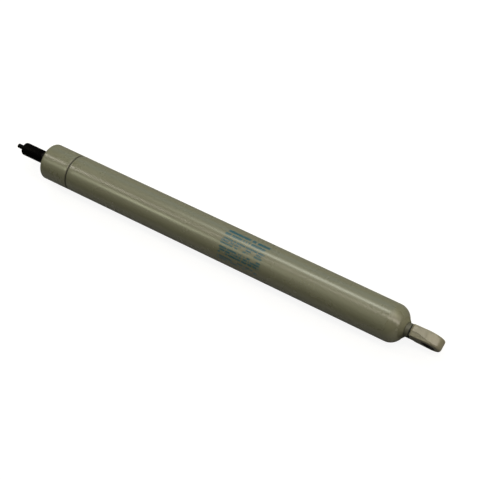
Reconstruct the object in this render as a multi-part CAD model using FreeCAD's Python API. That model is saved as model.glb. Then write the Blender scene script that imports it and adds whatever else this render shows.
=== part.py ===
"""Locking gas strut with an eyelet, fully pushed in.

Millimetres. The origin is the centre of the eye's bore. +X runs along the strut, from the eye
to the rod's tip, which is the way the rod comes out. +Y is the axis of the eye's bore.
"""
import FreeCAD
import Part

import math
import os

# Pressure tube and its closed end
tube_diameter = 28.0
tube_wall = 1.5
tube_end_x = 20.2
tube_end_radius = 10.0
tube_end_wall = 2.0

# Whole body and what shows past it
body_length = 320.9
cap_length = 26.2
rod_projection = 27.4
pin_projection = 6.5

# Motion
stroke = 150.0
release_travel = 3.0

# Eyelet
eye_bore_diameter = 10.1
eye_ring_wall = 4.45
eye_thickness = 8.8
eye_bore_chamfer = 0.4
eye_edge_round = 0.6
shank_half_width = 7.9
shank_end_gap = 6.4
shank_corner_round = 2.5
neck_diameter = 10.4
neck_inset = 5.0
neck_taper = 2.0
neck_groove_width = 0.6
neck_groove_depth = 0.5
weld_leg = 3.2
weld_height = 2.0
weld_crown = 0.1

# Rod
rod_diameter = 10.0
rod_wall = 3.0
rod_tip_round = 1.5
thread_length = 20.0
relief_width = 1.5
relief_depth = 0.7
shoulder_height = 1.0
spigot_wall = 1.4
spigot_thread_end = 0.5
oil_port_diameter = 1.6
oil_port_setback = 4.0

# Release pin and its guide in the rod's tip
pin_clearance = 0.25
pin_tip_round = 0.6
pin_bush_wall = 0.8
pin_bush_length = 6.0

# Release valve in the rod's inner end
tappet_land_length = 6.0
tappet_land_setback = 9.0
tappet_end_room = 1.0
oil_gap = 1.1
tappet_head_overhang = 1.3
tappet_head_length = 2.5
face_seal_thickness = 1.2
tappet_ring_width = 1.5
tappet_ring_depth = 0.9

# Piston package
piston_washer_length = 2.0
piston_washer_reach = 5.0
piston_length = 10.0
piston_nut_length = 3.5
piston_nut_flats = 14.0
piston_nut_sides = 6
piston_ring_width = 4.0
piston_ring_thickness = 1.3
piston_groove_depth = 2.6

# Separator piston between oil and gas
separator_length = 14.0
separator_gap = 3.0
separator_dish_depth = 5.0
separator_dish_wall = 4.2
separator_land = 2.0
separator_seal_width = 2.6
separator_seal_depth = 2.0
guide_ring_width = 3.0
guide_ring_depth = 1.2

# Gland head: the cap with its spigot in the tube
spigot_length = 20.0
cap_edge_round = 2.0
seam_chamfer = 0.7
spigot_chamfer = 0.8
rod_hole_clearance = 0.3
bush_wall = 1.5
bush_length = 16.0
seal_section = 3.5
seal_length = 7.0
seal_lip_depth = 2.2
seal_lip_width = 1.0
backup_length = 1.5
support_length = 1.5
snap_ring_thickness = 1.2
snap_ring_depth = 0.9
snap_ring_edge = 1.0
snap_ring_section = 2.2
wiper_section = 2.5
wiper_length = 4.0
wiper_lip_width = 0.9
wiper_lip_depth = 1.2
gland_ring_width = 2.6
gland_ring_depth = 1.9
gland_ring_setback = 4.6
lock_ring_section = 1.4
lock_ring_setback = 13.5
buffer_length = 3.0
buffer_section = 3.2
buffer_rod_gap = 1.0
end_of_stroke_gap = 0.5

# Clearances
running_clearance = 0.05
seal_clearance = 0.03
piston_clearance = 0.08
seat_clearance = 0.02
expander_clearance = 0.08
cut_overrun = 1.0

# Radii that follow
tube_r = tube_diameter / 2
bore_r = tube_r - tube_wall
rod_r = rod_diameter / 2
rod_bore_r = rod_r - rod_wall
pin_r = rod_bore_r - pin_clearance
rod_spigot_r = rod_r - shoulder_height
valve_bore_r = rod_spigot_r - spigot_wall
eye_bore_r = eye_bore_diameter / 2
eye_ring_r = eye_bore_r + eye_ring_wall
neck_r = neck_diameter / 2
gland_spigot_r = bore_r - seat_clearance

# Places along the strut that follow, from the eye to the rod's tip
shank_end_x = tube_end_x - shank_end_gap
cap_end_x = tube_end_x + body_length
seam_x = cap_end_x - cap_length
gland_inner_x = seam_x - spigot_length
shoulder_x = gland_inner_x - buffer_length - end_of_stroke_gap - stroke
piston_end_x = shoulder_x - piston_washer_length
piston_start_x = piston_end_x - piston_length
nut_start_x = piston_start_x - piston_nut_length
rod_start_x = nut_start_x - spigot_thread_end
face_seal_x = rod_start_x - seat_clearance
tappet_head_x = face_seal_x - face_seal_thickness
tappet_start_x = tappet_head_x - tappet_head_length
land_start_x = shoulder_x + tappet_land_setback
land_end_x = land_start_x + tappet_land_length
valve_bore_end_x = land_end_x + tappet_end_room
separator_end_x = tappet_start_x - release_travel - separator_gap
separator_start_x = separator_end_x - separator_length
rod_tip_x = cap_end_x + rod_projection
pin_tip_x = rod_tip_x + pin_projection
thread_start_x = rod_tip_x - thread_length
relief_start_x = thread_start_x - relief_width

parts = {}


def at(x, radius):
    """Point at x on the strut's axis and at a radius above it."""
    return FreeCAD.Vector(x, 0, radius)


def turned(start, *moves):
    """Solid turned about the strut's axis from a closed outline of (x, radius) points.

    A move is a point, reached by a straight line, or a pair of points, reached by an arc
    through the first to the second.
    """
    edges = []
    here = at(*start)
    for move in moves + (start,):
        if isinstance(move[0], tuple):
            through = at(*move[0])
            there = at(*move[1])
            edges.append(Part.Arc(here, through, there).toShape())
        else:
            there = at(*move)
            edges.append(Part.LineSegment(here, there).toShape())
        here = there
    face = Part.Face(Part.Wire(edges))
    solid = face.revolve(at(0, 0), FreeCAD.Vector(1, 0, 0), 360)
    return solid


def ring(start_x, end_x, inner_r, outer_r):
    """Plain ring or sleeve about the strut's axis."""
    return turned((start_x, inner_r), (end_x, inner_r), (end_x, outer_r), (start_x, outer_r))


def round_ring(middle_x, middle_r, section_r):
    """Ring of round section about the strut's axis."""
    along = FreeCAD.Vector(1, 0, 0)
    return Part.makeTorus(middle_r, section_r, FreeCAD.Vector(middle_x, 0, 0), along)


def rod_along(axis, radius, start, end):
    """Round bar on a row axis, from start to end along it."""
    return Part.makeCylinder(radius, end - start, axis * start, axis)


def arc_middle(centre_x, centre_r, radius, angle):
    """Point of an arc in the turned outline, at an angle from +X towards the outside."""
    turn = math.radians(angle)
    return (centre_x + radius * math.cos(turn), centre_r + radius * math.sin(turn))


def pressure_tube():
    """Drawn tube with one closed, rounded end and an open mouth at the seam."""
    inner_end_x = tube_end_x + tube_end_wall
    inner_radius = tube_end_radius - tube_wall
    outer_centre = (tube_end_x + tube_end_radius, tube_r - tube_end_radius)
    inner_centre = (inner_end_x + inner_radius, bore_r - inner_radius)
    body = turned(
        (tube_end_x, 0),
        (tube_end_x, outer_centre[1]),
        (arc_middle(*outer_centre, tube_end_radius, 135), (outer_centre[0], tube_r)),
        (seam_x - seam_chamfer, tube_r),
        (seam_x, tube_r - seam_chamfer),
        (seam_x, bore_r),
        (inner_centre[0], bore_r),
        (arc_middle(*inner_centre, inner_radius, 135), (inner_end_x, inner_centre[1])),
        (inner_end_x, 0),
    )
    groove = round_ring(seam_x - lock_ring_setback, bore_r, lock_ring_section / 2 + seat_clearance)
    return body.cut(groove)


def gland_pocket_steps():
    """Places of the pieces in the gland head's inner pocket, from its mouth to its floor."""
    snap_x = gland_inner_x + snap_ring_edge
    support_x = snap_x + snap_ring_thickness
    seal_x = support_x + support_length
    backup_x = seal_x + seal_length
    floor_x = backup_x + backup_length
    return snap_x, support_x, seal_x, backup_x, floor_x


def gland_head():
    """End cap with a spigot in the tube, which carries the rod's bush, seal and wiper."""
    snap_x, support_x, _, _, floor_x = gland_pocket_steps()
    pocket_r = rod_r + seal_section
    snap_r = pocket_r + snap_ring_depth
    bush_r = rod_r + bush_wall
    hole_r = rod_r + rod_hole_clearance
    wiper_r = rod_r + wiper_section
    wiper_x = cap_end_x - wiper_length
    bush_end_x = floor_x + bush_length
    ring_end_x = seam_x - gland_ring_setback + gland_ring_width
    ring_floor_r = gland_spigot_r - gland_ring_depth
    round_centre = (cap_end_x - cap_edge_round, tube_r - cap_edge_round)
    body = turned(
        (gland_inner_x, pocket_r),
        (gland_inner_x, gland_spigot_r - spigot_chamfer),
        (gland_inner_x + spigot_chamfer, gland_spigot_r),
        (ring_end_x - gland_ring_width, gland_spigot_r),
        (ring_end_x - gland_ring_width, ring_floor_r),
        (ring_end_x, ring_floor_r),
        (ring_end_x, gland_spigot_r),
        (seam_x, gland_spigot_r),
        (seam_x, tube_r - seam_chamfer),
        (seam_x + seam_chamfer, tube_r),
        (round_centre[0], tube_r),
        (arc_middle(*round_centre, cap_edge_round, 45), (cap_end_x, round_centre[1])),
        (cap_end_x, wiper_r),
        (wiper_x, wiper_r),
        (wiper_x, hole_r),
        (bush_end_x, hole_r),
        (bush_end_x, bush_r),
        (floor_x, bush_r),
        (floor_x, pocket_r),
        (support_x, pocket_r),
        (support_x, snap_r),
        (snap_x, snap_r),
        (snap_x, pocket_r),
    )
    groove = round_ring(seam_x - lock_ring_setback, bore_r, lock_ring_section / 2 + seat_clearance)
    return body.cut(groove)


def build_gland():
    """Gland head and everything that it holds."""
    snap_x, support_x, seal_x, backup_x, floor_x = gland_pocket_steps()
    pocket_r = rod_r + seal_section - seat_clearance
    rod_touch_r = rod_r + seal_clearance
    parts["gland_head"] = gland_head()

    snap_outer_r = pocket_r + snap_ring_depth
    snap = ring(snap_x + seat_clearance, support_x - seat_clearance,
                snap_outer_r - snap_ring_section, snap_outer_r)
    opening = Part.makeBox(2 * snap_ring_thickness, 2 * tube_r, snap_ring_section)
    opening.translate(FreeCAD.Vector(snap_x - snap_ring_thickness / 2, 0, -snap_ring_section / 2))
    parts["seal_snap_ring"] = snap.cut(opening)

    support_inner_r = rod_r + rod_hole_clearance
    parts["seal_support_washer"] = ring(support_x, seal_x, support_inner_r, pocket_r)

    lip_r = rod_touch_r + seal_lip_width
    back_r = pocket_r - seal_lip_width
    parts["rod_seal"] = turned(
        (seal_x, rod_touch_r),
        (seal_x, lip_r),
        (seal_x + seal_lip_depth, (lip_r + back_r) / 2),
        (seal_x, back_r),
        (seal_x, pocket_r),
        (backup_x, pocket_r),
        (backup_x, rod_touch_r),
    )
    parts["seal_backup_ring"] = ring(backup_x, floor_x, rod_r + running_clearance, pocket_r)

    bush_outer_r = rod_r + bush_wall - seat_clearance
    parts["guide_bush"] = ring(floor_x, floor_x + bush_length,
                               rod_r + running_clearance, bush_outer_r)

    wiper_x = cap_end_x - wiper_length
    wiper_outer_r = rod_r + wiper_section - seat_clearance
    parts["rod_wiper"] = turned(
        (wiper_x, rod_touch_r),
        (wiper_x, wiper_outer_r),
        (cap_end_x - wiper_lip_depth, wiper_outer_r),
        (cap_end_x - wiper_lip_depth, rod_touch_r + wiper_lip_width),
        (cap_end_x, rod_touch_r + wiper_lip_width / 2),
        (cap_end_x, rod_touch_r),
    )

    ring_floor_r = gland_spigot_r - gland_ring_depth
    ring_x = seam_x - gland_ring_setback
    parts["gland_o_ring"] = ring(ring_x + seat_clearance, ring_x + gland_ring_width - seat_clearance,
                                 ring_floor_r + seat_clearance, bore_r - seat_clearance)
    parts["lock_ring"] = round_ring(seam_x - lock_ring_setback, bore_r, lock_ring_section / 2)

    buffer_inner_r = rod_r + buffer_rod_gap
    parts["end_buffer"] = ring(gland_inner_x - buffer_length, gland_inner_x,
                               buffer_inner_r, buffer_inner_r + buffer_section)


def eyelet():
    """Forged flat eye with a round neck that is welded to the tube's end."""
    across = FreeCAD.Vector(0, 1, 0)
    corner_x = shank_end_x
    corner_distance = math.hypot(corner_x, shank_half_width)
    tangent_turn = math.atan2(shank_half_width, corner_x) + math.acos(eye_ring_r / corner_distance)
    tangent_x = eye_ring_r * math.cos(tangent_turn)
    tangent_z = eye_ring_r * math.sin(tangent_turn)
    low = FreeCAD.Vector(0, -eye_thickness / 2, 0)
    upper_tangent = FreeCAD.Vector(tangent_x, 0, tangent_z)
    lower_tangent = FreeCAD.Vector(tangent_x, 0, -tangent_z)
    upper_corner = FreeCAD.Vector(corner_x, 0, shank_half_width)
    lower_corner = FreeCAD.Vector(corner_x, 0, -shank_half_width)
    outline = Part.Wire([
        Part.Arc(upper_tangent, FreeCAD.Vector(-eye_ring_r, 0, 0), lower_tangent).toShape(),
        Part.LineSegment(lower_tangent, lower_corner).toShape(),
        Part.LineSegment(lower_corner, upper_corner).toShape(),
        Part.LineSegment(upper_corner, upper_tangent).toShape(),
    ])
    plate = Part.Face(outline).extrude(across * eye_thickness)
    plate.translate(low)
    corners = [edge for edge in plate.Edges
               if edge.BoundBox.XMin > corner_x - 0.01 and edge.BoundBox.ZLength < 0.01]
    plate = plate.makeFillet(shank_corner_round, corners)
    rims = [edge for edge in plate.Edges if edge.BoundBox.YLength < 0.01]
    plate = plate.makeFillet(eye_edge_round, rims)

    neck_x = corner_x - neck_inset
    groove_end_x = corner_x + neck_groove_width
    groove_r = neck_r - neck_groove_depth
    neck = turned(
        (neck_x, 0),
        (neck_x, eye_thickness / 2 - eye_edge_round),
        (neck_x + neck_taper, neck_r),
        (corner_x, neck_r),
        (corner_x, groove_r),
        (groove_end_x, groove_r),
        (groove_end_x, neck_r),
        (tube_end_x, neck_r),
        (tube_end_x, 0),
    )
    forging = plate.fuse(neck).removeSplitter()
    bore = rod_along(across, eye_bore_r, -eye_thickness, eye_thickness)
    forging = forging.cut(bore)
    for side in (-1, 1):
        mouth = side * eye_thickness / 2
        outer_r = eye_bore_r + eye_bore_chamfer
        start = across * (mouth - side * eye_bore_chamfer)
        sink = Part.makeCone(eye_bore_r, outer_r, eye_bore_chamfer, start, across * side)
        forging = forging.cut(sink)
    return forging


def tube_end_surface(radius):
    """Place of the outside of the tube's rounded end at a radius from the axis."""
    out = max(radius - (tube_r - tube_end_radius), 0)
    return tube_end_x + tube_end_radius - math.sqrt(tube_end_radius ** 2 - out ** 2)


def eyelet_weld():
    """Fillet weld round the neck's foot, lying on the tube's rounded end."""
    root_r = neck_r + seat_clearance
    foot_r = root_r + weld_leg
    middle_r = (root_r + foot_r) / 2
    root = (tube_end_surface(root_r), root_r)
    under = (tube_end_surface(middle_r), middle_r)
    foot = (tube_end_surface(foot_r), foot_r)
    top = (tube_end_x - weld_height, root_r)
    slope = math.atan2(foot[1] - top[1], foot[0] - top[0])
    crown = ((top[0] + foot[0]) / 2 - weld_crown * math.sin(slope),
             (top[1] + foot[1]) / 2 + weld_crown * math.cos(slope))
    return turned(root, (under, foot), (crown, top))


def piston_rod():
    """Hollow rod with a threaded tip, and at its inner end a spigot with the valve's bore."""
    tip_centre = (rod_tip_x - rod_tip_round, rod_r - rod_tip_round)
    bush_r = pin_r + running_clearance + pin_bush_wall
    bush_x = rod_tip_x - pin_bush_length
    body = turned(
        (rod_start_x, valve_bore_r),
        (rod_start_x, rod_spigot_r),
        (shoulder_x, rod_spigot_r),
        (shoulder_x, rod_r),
        (relief_start_x, rod_r),
        (relief_start_x, rod_r - relief_depth),
        (thread_start_x, rod_r - relief_depth),
        (thread_start_x, rod_r),
        (tip_centre[0], rod_r),
        (arc_middle(*tip_centre, rod_tip_round, 45), (rod_tip_x, tip_centre[1])),
        (rod_tip_x, bush_r),
        (bush_x, bush_r),
        (bush_x, rod_bore_r),
        (valve_bore_end_x, rod_bore_r),
        (valve_bore_end_x, valve_bore_r),
    )
    up = FreeCAD.Vector(0, 0, 1)
    port = Part.makeCylinder(oil_port_diameter / 2, 2 * rod_diameter,
                             FreeCAD.Vector(shoulder_x + oil_port_setback, 0, -rod_diameter), up)
    return body.cut(port)


def build_rod():
    """Rod with the piston package on its spigot and the pin's guide in its tip."""
    parts["piston_rod"] = piston_rod()

    pin_touch_r = pin_r + running_clearance
    parts["pin_guide_bush"] = ring(rod_tip_x - pin_bush_length, rod_tip_x, pin_touch_r,
                                   pin_touch_r + pin_bush_wall - seat_clearance)

    on_spigot_r = rod_spigot_r + seat_clearance
    parts["piston_washer"] = ring(piston_end_x, shoulder_x, on_spigot_r,
                                  rod_spigot_r + piston_washer_reach)

    piston_r = bore_r - piston_clearance
    groove_r = piston_r - piston_groove_depth
    groove_x = (piston_start_x + piston_end_x - piston_ring_width) / 2
    groove_end_x = groove_x + piston_ring_width
    parts["piston"] = turned(
        (piston_start_x, on_spigot_r),
        (piston_start_x, piston_r),
        (groove_x, piston_r),
        (groove_x, groove_r),
        (groove_end_x, groove_r),
        (groove_end_x, piston_r),
        (piston_end_x, piston_r),
        (piston_end_x, on_spigot_r),
    )
    ring_inner_r = bore_r - seal_clearance - piston_ring_thickness
    parts["piston_ring"] = ring(groove_x + seat_clearance, groove_end_x - seat_clearance,
                                ring_inner_r, bore_r - seal_clearance)
    parts["piston_o_ring"] = ring(groove_x + expander_clearance, groove_end_x - expander_clearance,
                                  groove_r + seat_clearance, ring_inner_r - seat_clearance)

    corner_r = piston_nut_flats / 2 / math.cos(math.pi / piston_nut_sides)
    corners = []
    for corner in range(piston_nut_sides + 1):
        turn = corner * 2 * math.pi / piston_nut_sides
        corners.append(FreeCAD.Vector(nut_start_x, corner_r * math.cos(turn), corner_r * math.sin(turn)))
    hexagon = Part.Face(Part.makePolygon(corners))
    along = FreeCAD.Vector(1, 0, 0)
    nut = hexagon.extrude(along * piston_nut_length)
    hole = rod_along(along, on_spigot_r, nut_start_x - cut_overrun, piston_start_x + cut_overrun)
    parts["piston_nut"] = nut.cut(hole)


def build_release():
    """Release pin, and the valve tappet that it pushes, with its two seals."""
    tip_centre = (pin_tip_x - pin_tip_round, pin_r - pin_tip_round)
    parts["release_pin"] = turned(
        (land_end_x, 0),
        (land_end_x, pin_r),
        (tip_centre[0], pin_r),
        (arc_middle(*tip_centre, pin_tip_round, 45), (pin_tip_x, tip_centre[1])),
        (pin_tip_x, 0),
    )

    head_r = valve_bore_r + tappet_head_overhang
    stem_r = valve_bore_r - oil_gap
    land_r = valve_bore_r - running_clearance
    groove_r = land_r - tappet_ring_depth
    groove_x = (land_start_x + land_end_x - tappet_ring_width) / 2
    groove_end_x = groove_x + tappet_ring_width
    parts["valve_tappet"] = turned(
        (tappet_start_x, 0),
        (tappet_start_x, head_r),
        (tappet_head_x, head_r),
        (tappet_head_x, stem_r),
        (land_start_x, stem_r),
        (land_start_x, land_r),
        (groove_x, land_r),
        (groove_x, groove_r),
        (groove_end_x, groove_r),
        (groove_end_x, land_r),
        (land_end_x, land_r),
        (land_end_x, 0),
    )
    parts["tappet_o_ring"] = ring(groove_x + seat_clearance, groove_end_x - seat_clearance,
                                  groove_r + seat_clearance, valve_bore_r - seal_clearance)
    parts["tappet_face_seal"] = ring(tappet_head_x, face_seal_x, stem_r + seat_clearance, head_r)


def build_separator():
    """Floating piston between the oil and the gas, dished on its gas side."""
    outer_r = bore_r - piston_clearance
    touch_r = bore_r - seal_clearance
    seal_floor_r = outer_r - separator_seal_depth
    guide_floor_r = outer_r - guide_ring_depth
    guide_x = separator_start_x + separator_land
    guide_end_x = guide_x + guide_ring_width
    seal_end_x = separator_end_x - separator_land
    seal_x = seal_end_x - separator_seal_width
    dish_r = outer_r - separator_dish_wall
    dish_x = separator_start_x + separator_dish_depth
    parts["separator_piston"] = turned(
        (dish_x, 0),
        (dish_x, dish_r),
        (separator_start_x, dish_r),
        (separator_start_x, outer_r),
        (guide_x, outer_r),
        (guide_x, guide_floor_r),
        (guide_end_x, guide_floor_r),
        (guide_end_x, outer_r),
        (seal_x, outer_r),
        (seal_x, seal_floor_r),
        (seal_end_x, seal_floor_r),
        (seal_end_x, outer_r),
        (separator_end_x, outer_r),
        (separator_end_x, 0),
    )
    parts["separator_guide_ring"] = ring(guide_x + seat_clearance, guide_end_x - seat_clearance,
                                         guide_floor_r + seat_clearance, touch_r)
    parts["separator_o_ring"] = ring(seal_x + seat_clearance, seal_end_x - seat_clearance,
                                     seal_floor_r + seat_clearance, touch_r)


def main():
    """Build every piece and write it to its own file."""
    parts["pressure_tube"] = pressure_tube()
    parts["eyelet"] = eyelet()
    parts["eyelet_weld"] = eyelet_weld()
    build_gland()
    build_rod()
    build_release()
    build_separator()
    os.makedirs("parts", exist_ok=True)
    for name, shape in parts.items():
        shape.exportStep("parts/" + name + ".step")
        box = shape.BoundBox
        print(name, shape.isValid(), len(shape.Solids), round(shape.Volume, 2),
              round(box.XMin, 2), round(box.XMax, 2))


main()
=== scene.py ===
"""Looks of a locking gas strut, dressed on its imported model.

Everything is in metres, in the part's own frame: the origin is the centre of the eye's bore, +X runs
along the strut to the rod's tip and +Y is the axis of the eye's bore.
"""
import logging
import math
from dataclasses import asdict, dataclass, field
from enum import Enum
from typing import Callable, Optional, Union

import bmesh
import bpy
from mathutils import Matrix, Vector


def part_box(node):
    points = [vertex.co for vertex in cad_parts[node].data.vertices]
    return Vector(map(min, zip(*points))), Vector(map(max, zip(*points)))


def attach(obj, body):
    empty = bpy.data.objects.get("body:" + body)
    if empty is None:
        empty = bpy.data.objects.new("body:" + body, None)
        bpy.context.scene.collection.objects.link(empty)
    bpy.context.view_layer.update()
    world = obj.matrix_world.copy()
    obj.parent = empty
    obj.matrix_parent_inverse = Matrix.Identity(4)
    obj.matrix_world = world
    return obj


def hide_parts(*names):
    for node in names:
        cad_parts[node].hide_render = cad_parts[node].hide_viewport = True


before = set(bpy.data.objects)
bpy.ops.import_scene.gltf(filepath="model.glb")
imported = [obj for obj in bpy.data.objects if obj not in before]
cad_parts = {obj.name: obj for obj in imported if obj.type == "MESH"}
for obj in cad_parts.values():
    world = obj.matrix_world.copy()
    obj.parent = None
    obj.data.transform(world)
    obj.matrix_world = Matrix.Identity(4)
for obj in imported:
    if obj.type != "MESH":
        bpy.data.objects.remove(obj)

Colour = tuple[float, float, float]

LOG = logging.getLogger("strut")
MM = 0.001
SEATED = 0.02 * MM
MERGED = 1e-7
ON_AXIS = 1e-9
FULL_TURN = 2 * math.pi


class Tree(Enum):
    """What a node group is for."""

    SHADER = "ShaderNodeTree"
    GEOMETRY = "GeometryNodeTree"


class Kind(Enum):
    """Socket types that the node groups use."""

    NUMBER = "NodeSocketFloat"
    WHOLE = "NodeSocketInt"
    SHAPE = "NodeSocketGeometry"
    MATERIAL = "NodeSocketMaterial"


def reckoning(operation: str, swapped: bool = False) -> Callable[["Value", object], "Value"]:
    """Makes a method that reckons with a value and another one.

    Args:
        operation: The Math node's operation.
        swapped: Whether the other comes first.

    Returns:
        The method.
    """
    def reckon(self: "Value", other: object) -> "Value":
        """Adds the Math node."""
        return self.graph.maths(operation, *((other, self) if swapped else (self, other)))
    return reckon


class Value:
    """Output of a node, which is reckoned with like a number. Each step is a Math node."""

    __add__ = __radd__ = reckoning("ADD")
    __mul__ = __rmul__ = reckoning("MULTIPLY")
    __sub__, __rsub__ = reckoning("SUBTRACT"), reckoning("SUBTRACT", swapped=True)
    __truediv__, __rtruediv__ = reckoning("DIVIDE"), reckoning("DIVIDE", swapped=True)
    __lt__, __gt__ = reckoning("LESS_THAN"), reckoning("GREATER_THAN")

    def __init__(self, graph: "Graph", socket: bpy.types.NodeSocket) -> None:
        """Keeps the socket and the graph that it is in."""
        self.graph, self.socket = graph, socket

    def __abs__(self) -> "Value":
        """Takes the sign off."""
        return self.graph.maths("ABSOLUTE", self)


class Graph:
    """Node tree with short ways to fill it."""

    def __init__(self, tree: bpy.types.NodeTree) -> None:
        """Keeps the tree that nodes are added to."""
        self.tree = tree

    def node(self, kind: str, feed: Optional[dict[Union[str, int], object]] = None,
             **settings: object) -> bpy.types.Node:
        """Adds a node.

        Args:
            kind: Its type, such as ShaderNodeMath.
            feed: What goes into its inputs: values of the graph to link, or plain ones to set.
            **settings: Properties to set on it.

        Returns:
            The new node.
        """
        made = self.tree.nodes.new(kind)
        for name, value in settings.items():
            setattr(made, name, value)
        for name, value in (feed or {}).items():
            if isinstance(value, Value):
                self.tree.links.new(value.socket, made.inputs[name])
            else:
                made.inputs[name].default_value = value
        return made

    def add(self, kind: str, feed: Optional[dict[Union[str, int], object]] = None,
            output: Union[str, int] = 0, **settings: object) -> Value:
        """Adds a node as node() does, and gives one of its outputs by name or number."""
        return Value(self, self.node(kind, feed, **settings).outputs[output])

    def maths(self, operation: str, *values: object) -> Value:
        """Adds a Math node with its operation and inputs."""
        return self.add("ShaderNodeMath", dict(enumerate(values)), operation=operation)

    def hypot(self, first: Value, second: Value) -> Value:
        """Works out the length of the long side over two sides at right angles."""
        return self.maths("SQRT", first * first + second * second)

    def where(self) -> Value:
        """Gives the place on a piece, in the part's frame."""
        return self.add("ShaderNodeTexCoord", output="Object")

    def split(self, vector: Value) -> tuple[Value, Value, Value]:
        """Parts a vector into its x, y and z."""
        made = self.node("ShaderNodeSeparateXYZ", {0: vector})
        return Value(self, made.outputs[0]), Value(self, made.outputs[1]), Value(self, made.outputs[2])

    def join(self, x: object, y: object, z: object) -> Value:
        """Makes a vector of its x, y and z."""
        return self.add("ShaderNodeCombineXYZ", {0: x, 1: y, 2: z})

    def ramp(self, value: Value, low: object, high: object,
             start: float = 0.0, end: float = 1.0) -> Value:
        """Goes in a smooth step from start, at a value of low or less, to end, at high or more."""
        feed = {"Value": value, "From Min": low, "From Max": high, "To Min": start, "To Max": end}
        return self.add("ShaderNodeMapRange", feed, interpolation_type="SMOOTHSTEP", clamp=True)

    def slope(self, value: Value, low: object, high: object) -> Value:
        """Rises evenly from 0, at a value of low or less, to 1, at high or more."""
        feed = {"Value": value, "From Min": low, "From Max": high}
        return self.add("ShaderNodeMapRange", feed, interpolation_type="LINEAR", clamp=True)

    def noise(self, vector: Value, scale: object, detail: float = 3.0, roughness: float = 0.5) -> Value:
        """Adds a noise about 0.5: its lumps per metre, its octaves and the finer ones' share."""
        feed = {"Vector": vector, "Scale": scale, "Detail": detail, "Roughness": roughness}
        return self.add("ShaderNodeTexNoise", feed, noise_dimensions="3D")

    def noise_along(self, place: Value) -> Value:
        """Adds a noise that changes along one number, one lump for each whole step of it."""
        return self.add("ShaderNodeTexNoise", {"W": place, "Scale": 1.0}, noise_dimensions="1D")

    def blend(self, share: Value, first: object, second: object) -> Value:
        """Mixes two colours, by the share of the second."""
        feed = {0: share, 6: first, 7: second}
        return self.add("ShaderNodeMix", feed, 2, data_type="RGBA", clamp_factor=True)

    def bump(self, height: Value, strength: float, distance: float) -> Value:
        """Turns a height into a normal, where a full step is a distance in metres."""
        return self.add("ShaderNodeBump", {"Height": height, "Strength": strength, "Distance": distance})

    def group(self, tree: bpy.types.NodeTree, **values: float) -> dict[str, Value]:
        """Places a node group with its own values.

        Args:
            tree: The group.
            **values: Input values, with underscores for spaces in the names.

        Returns:
            Its outputs by name.
        """
        feed = {name.replace("_", " ").title(): value for name, value in values.items()}
        made = self.node("ShaderNodeGroup", feed, node_tree=tree)
        return {output.name: Value(self, output) for output in made.outputs}

    def close(self, **results: Value) -> bpy.types.NodeTree:
        """Ends a shader group in its outputs.

        Args:
            **results: The outputs by name.

        Returns:
            The group.
        """
        for title in results:
            self.tree.interface.new_socket(name=title, in_out="OUTPUT", socket_type=Kind.NUMBER.value)
        self.node("NodeGroupOutput", results)
        return self.tree

    def close_shape(self, given: dict[str, Value], **move: Value) -> bpy.types.NodeTree:
        """Ends a geometry group: moves the shape's points, realizes it and gives it its material.

        Args:
            given: The group's inputs.
            **move: Position or Offset of each point.

        Returns:
            The group.
        """
        self.tree.interface.new_socket(name="Geometry", in_out="OUTPUT", socket_type=Kind.SHAPE.value)
        shape = self.add("GeometryNodeSetPosition", {"Geometry": given["Geometry"], **move})
        shape = self.add("GeometryNodeRealizeInstances", {"Geometry": shape})
        shape = self.add("GeometryNodeSetMaterial", {"Geometry": shape, "Material": given["Material"]})
        self.node("NodeGroupOutput", {"Geometry": shape})
        return self.tree


def new_group(name: str, kind: Tree, inputs: dict[str, float]) -> tuple[Graph, dict[str, Value]]:
    """Starts a node group. A geometry group also gets a shape first and a material last.

    Args:
        name: The group's name.
        kind: What the group is for.
        inputs: Its inputs and their default values.

    Returns:
        A graph that fills the group, and its inputs by name.
    """
    tree = bpy.data.node_groups.new(name, kind.value)
    kinds = {title: Kind.WHOLE if isinstance(value, int) else Kind.NUMBER for title, value in inputs.items()}
    if kind is Tree.GEOMETRY:
        kinds = {"Geometry": Kind.SHAPE, **kinds, "Material": Kind.MATERIAL}
    for title, socket in kinds.items():
        made = tree.interface.new_socket(name=title, in_out="INPUT", socket_type=socket.value)
        if title in inputs:
            made.default_value = inputs[title]
    g = Graph(tree)
    given = g.node("NodeGroupInput").outputs
    return g, {title: Value(g, given[title]) for title in kinds}


def cleared(owner: Union[bpy.types.Material, bpy.types.World]) -> Graph:
    """Empties the node tree of a new material or world.

    Args:
        owner: The material or world.

    Returns:
        A graph that fills it.
    """
    owner.use_nodes = True
    owner.node_tree.nodes.clear()
    return Graph(owner.node_tree)


def linear(colour: Colour, times: float = 1.0) -> tuple[float, float, float, float]:
    """Turns a colour as it is seen on a screen into the linear one that shaders take.

    Args:
        colour: Red, green and blue from 0 to 1.
        times: How many times brighter it is made, up to white.

    Returns:
        Linear red, green, blue and an alpha of 1.
    """
    toe = 0.04045
    parts = [min(c * times, 1.0) for c in colour]
    parts = [c / 12.92 if c <= toe else ((c + 0.055) / 1.055) ** 2.4 for c in parts]
    return (parts[0], parts[1], parts[2], 1.0)


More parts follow.
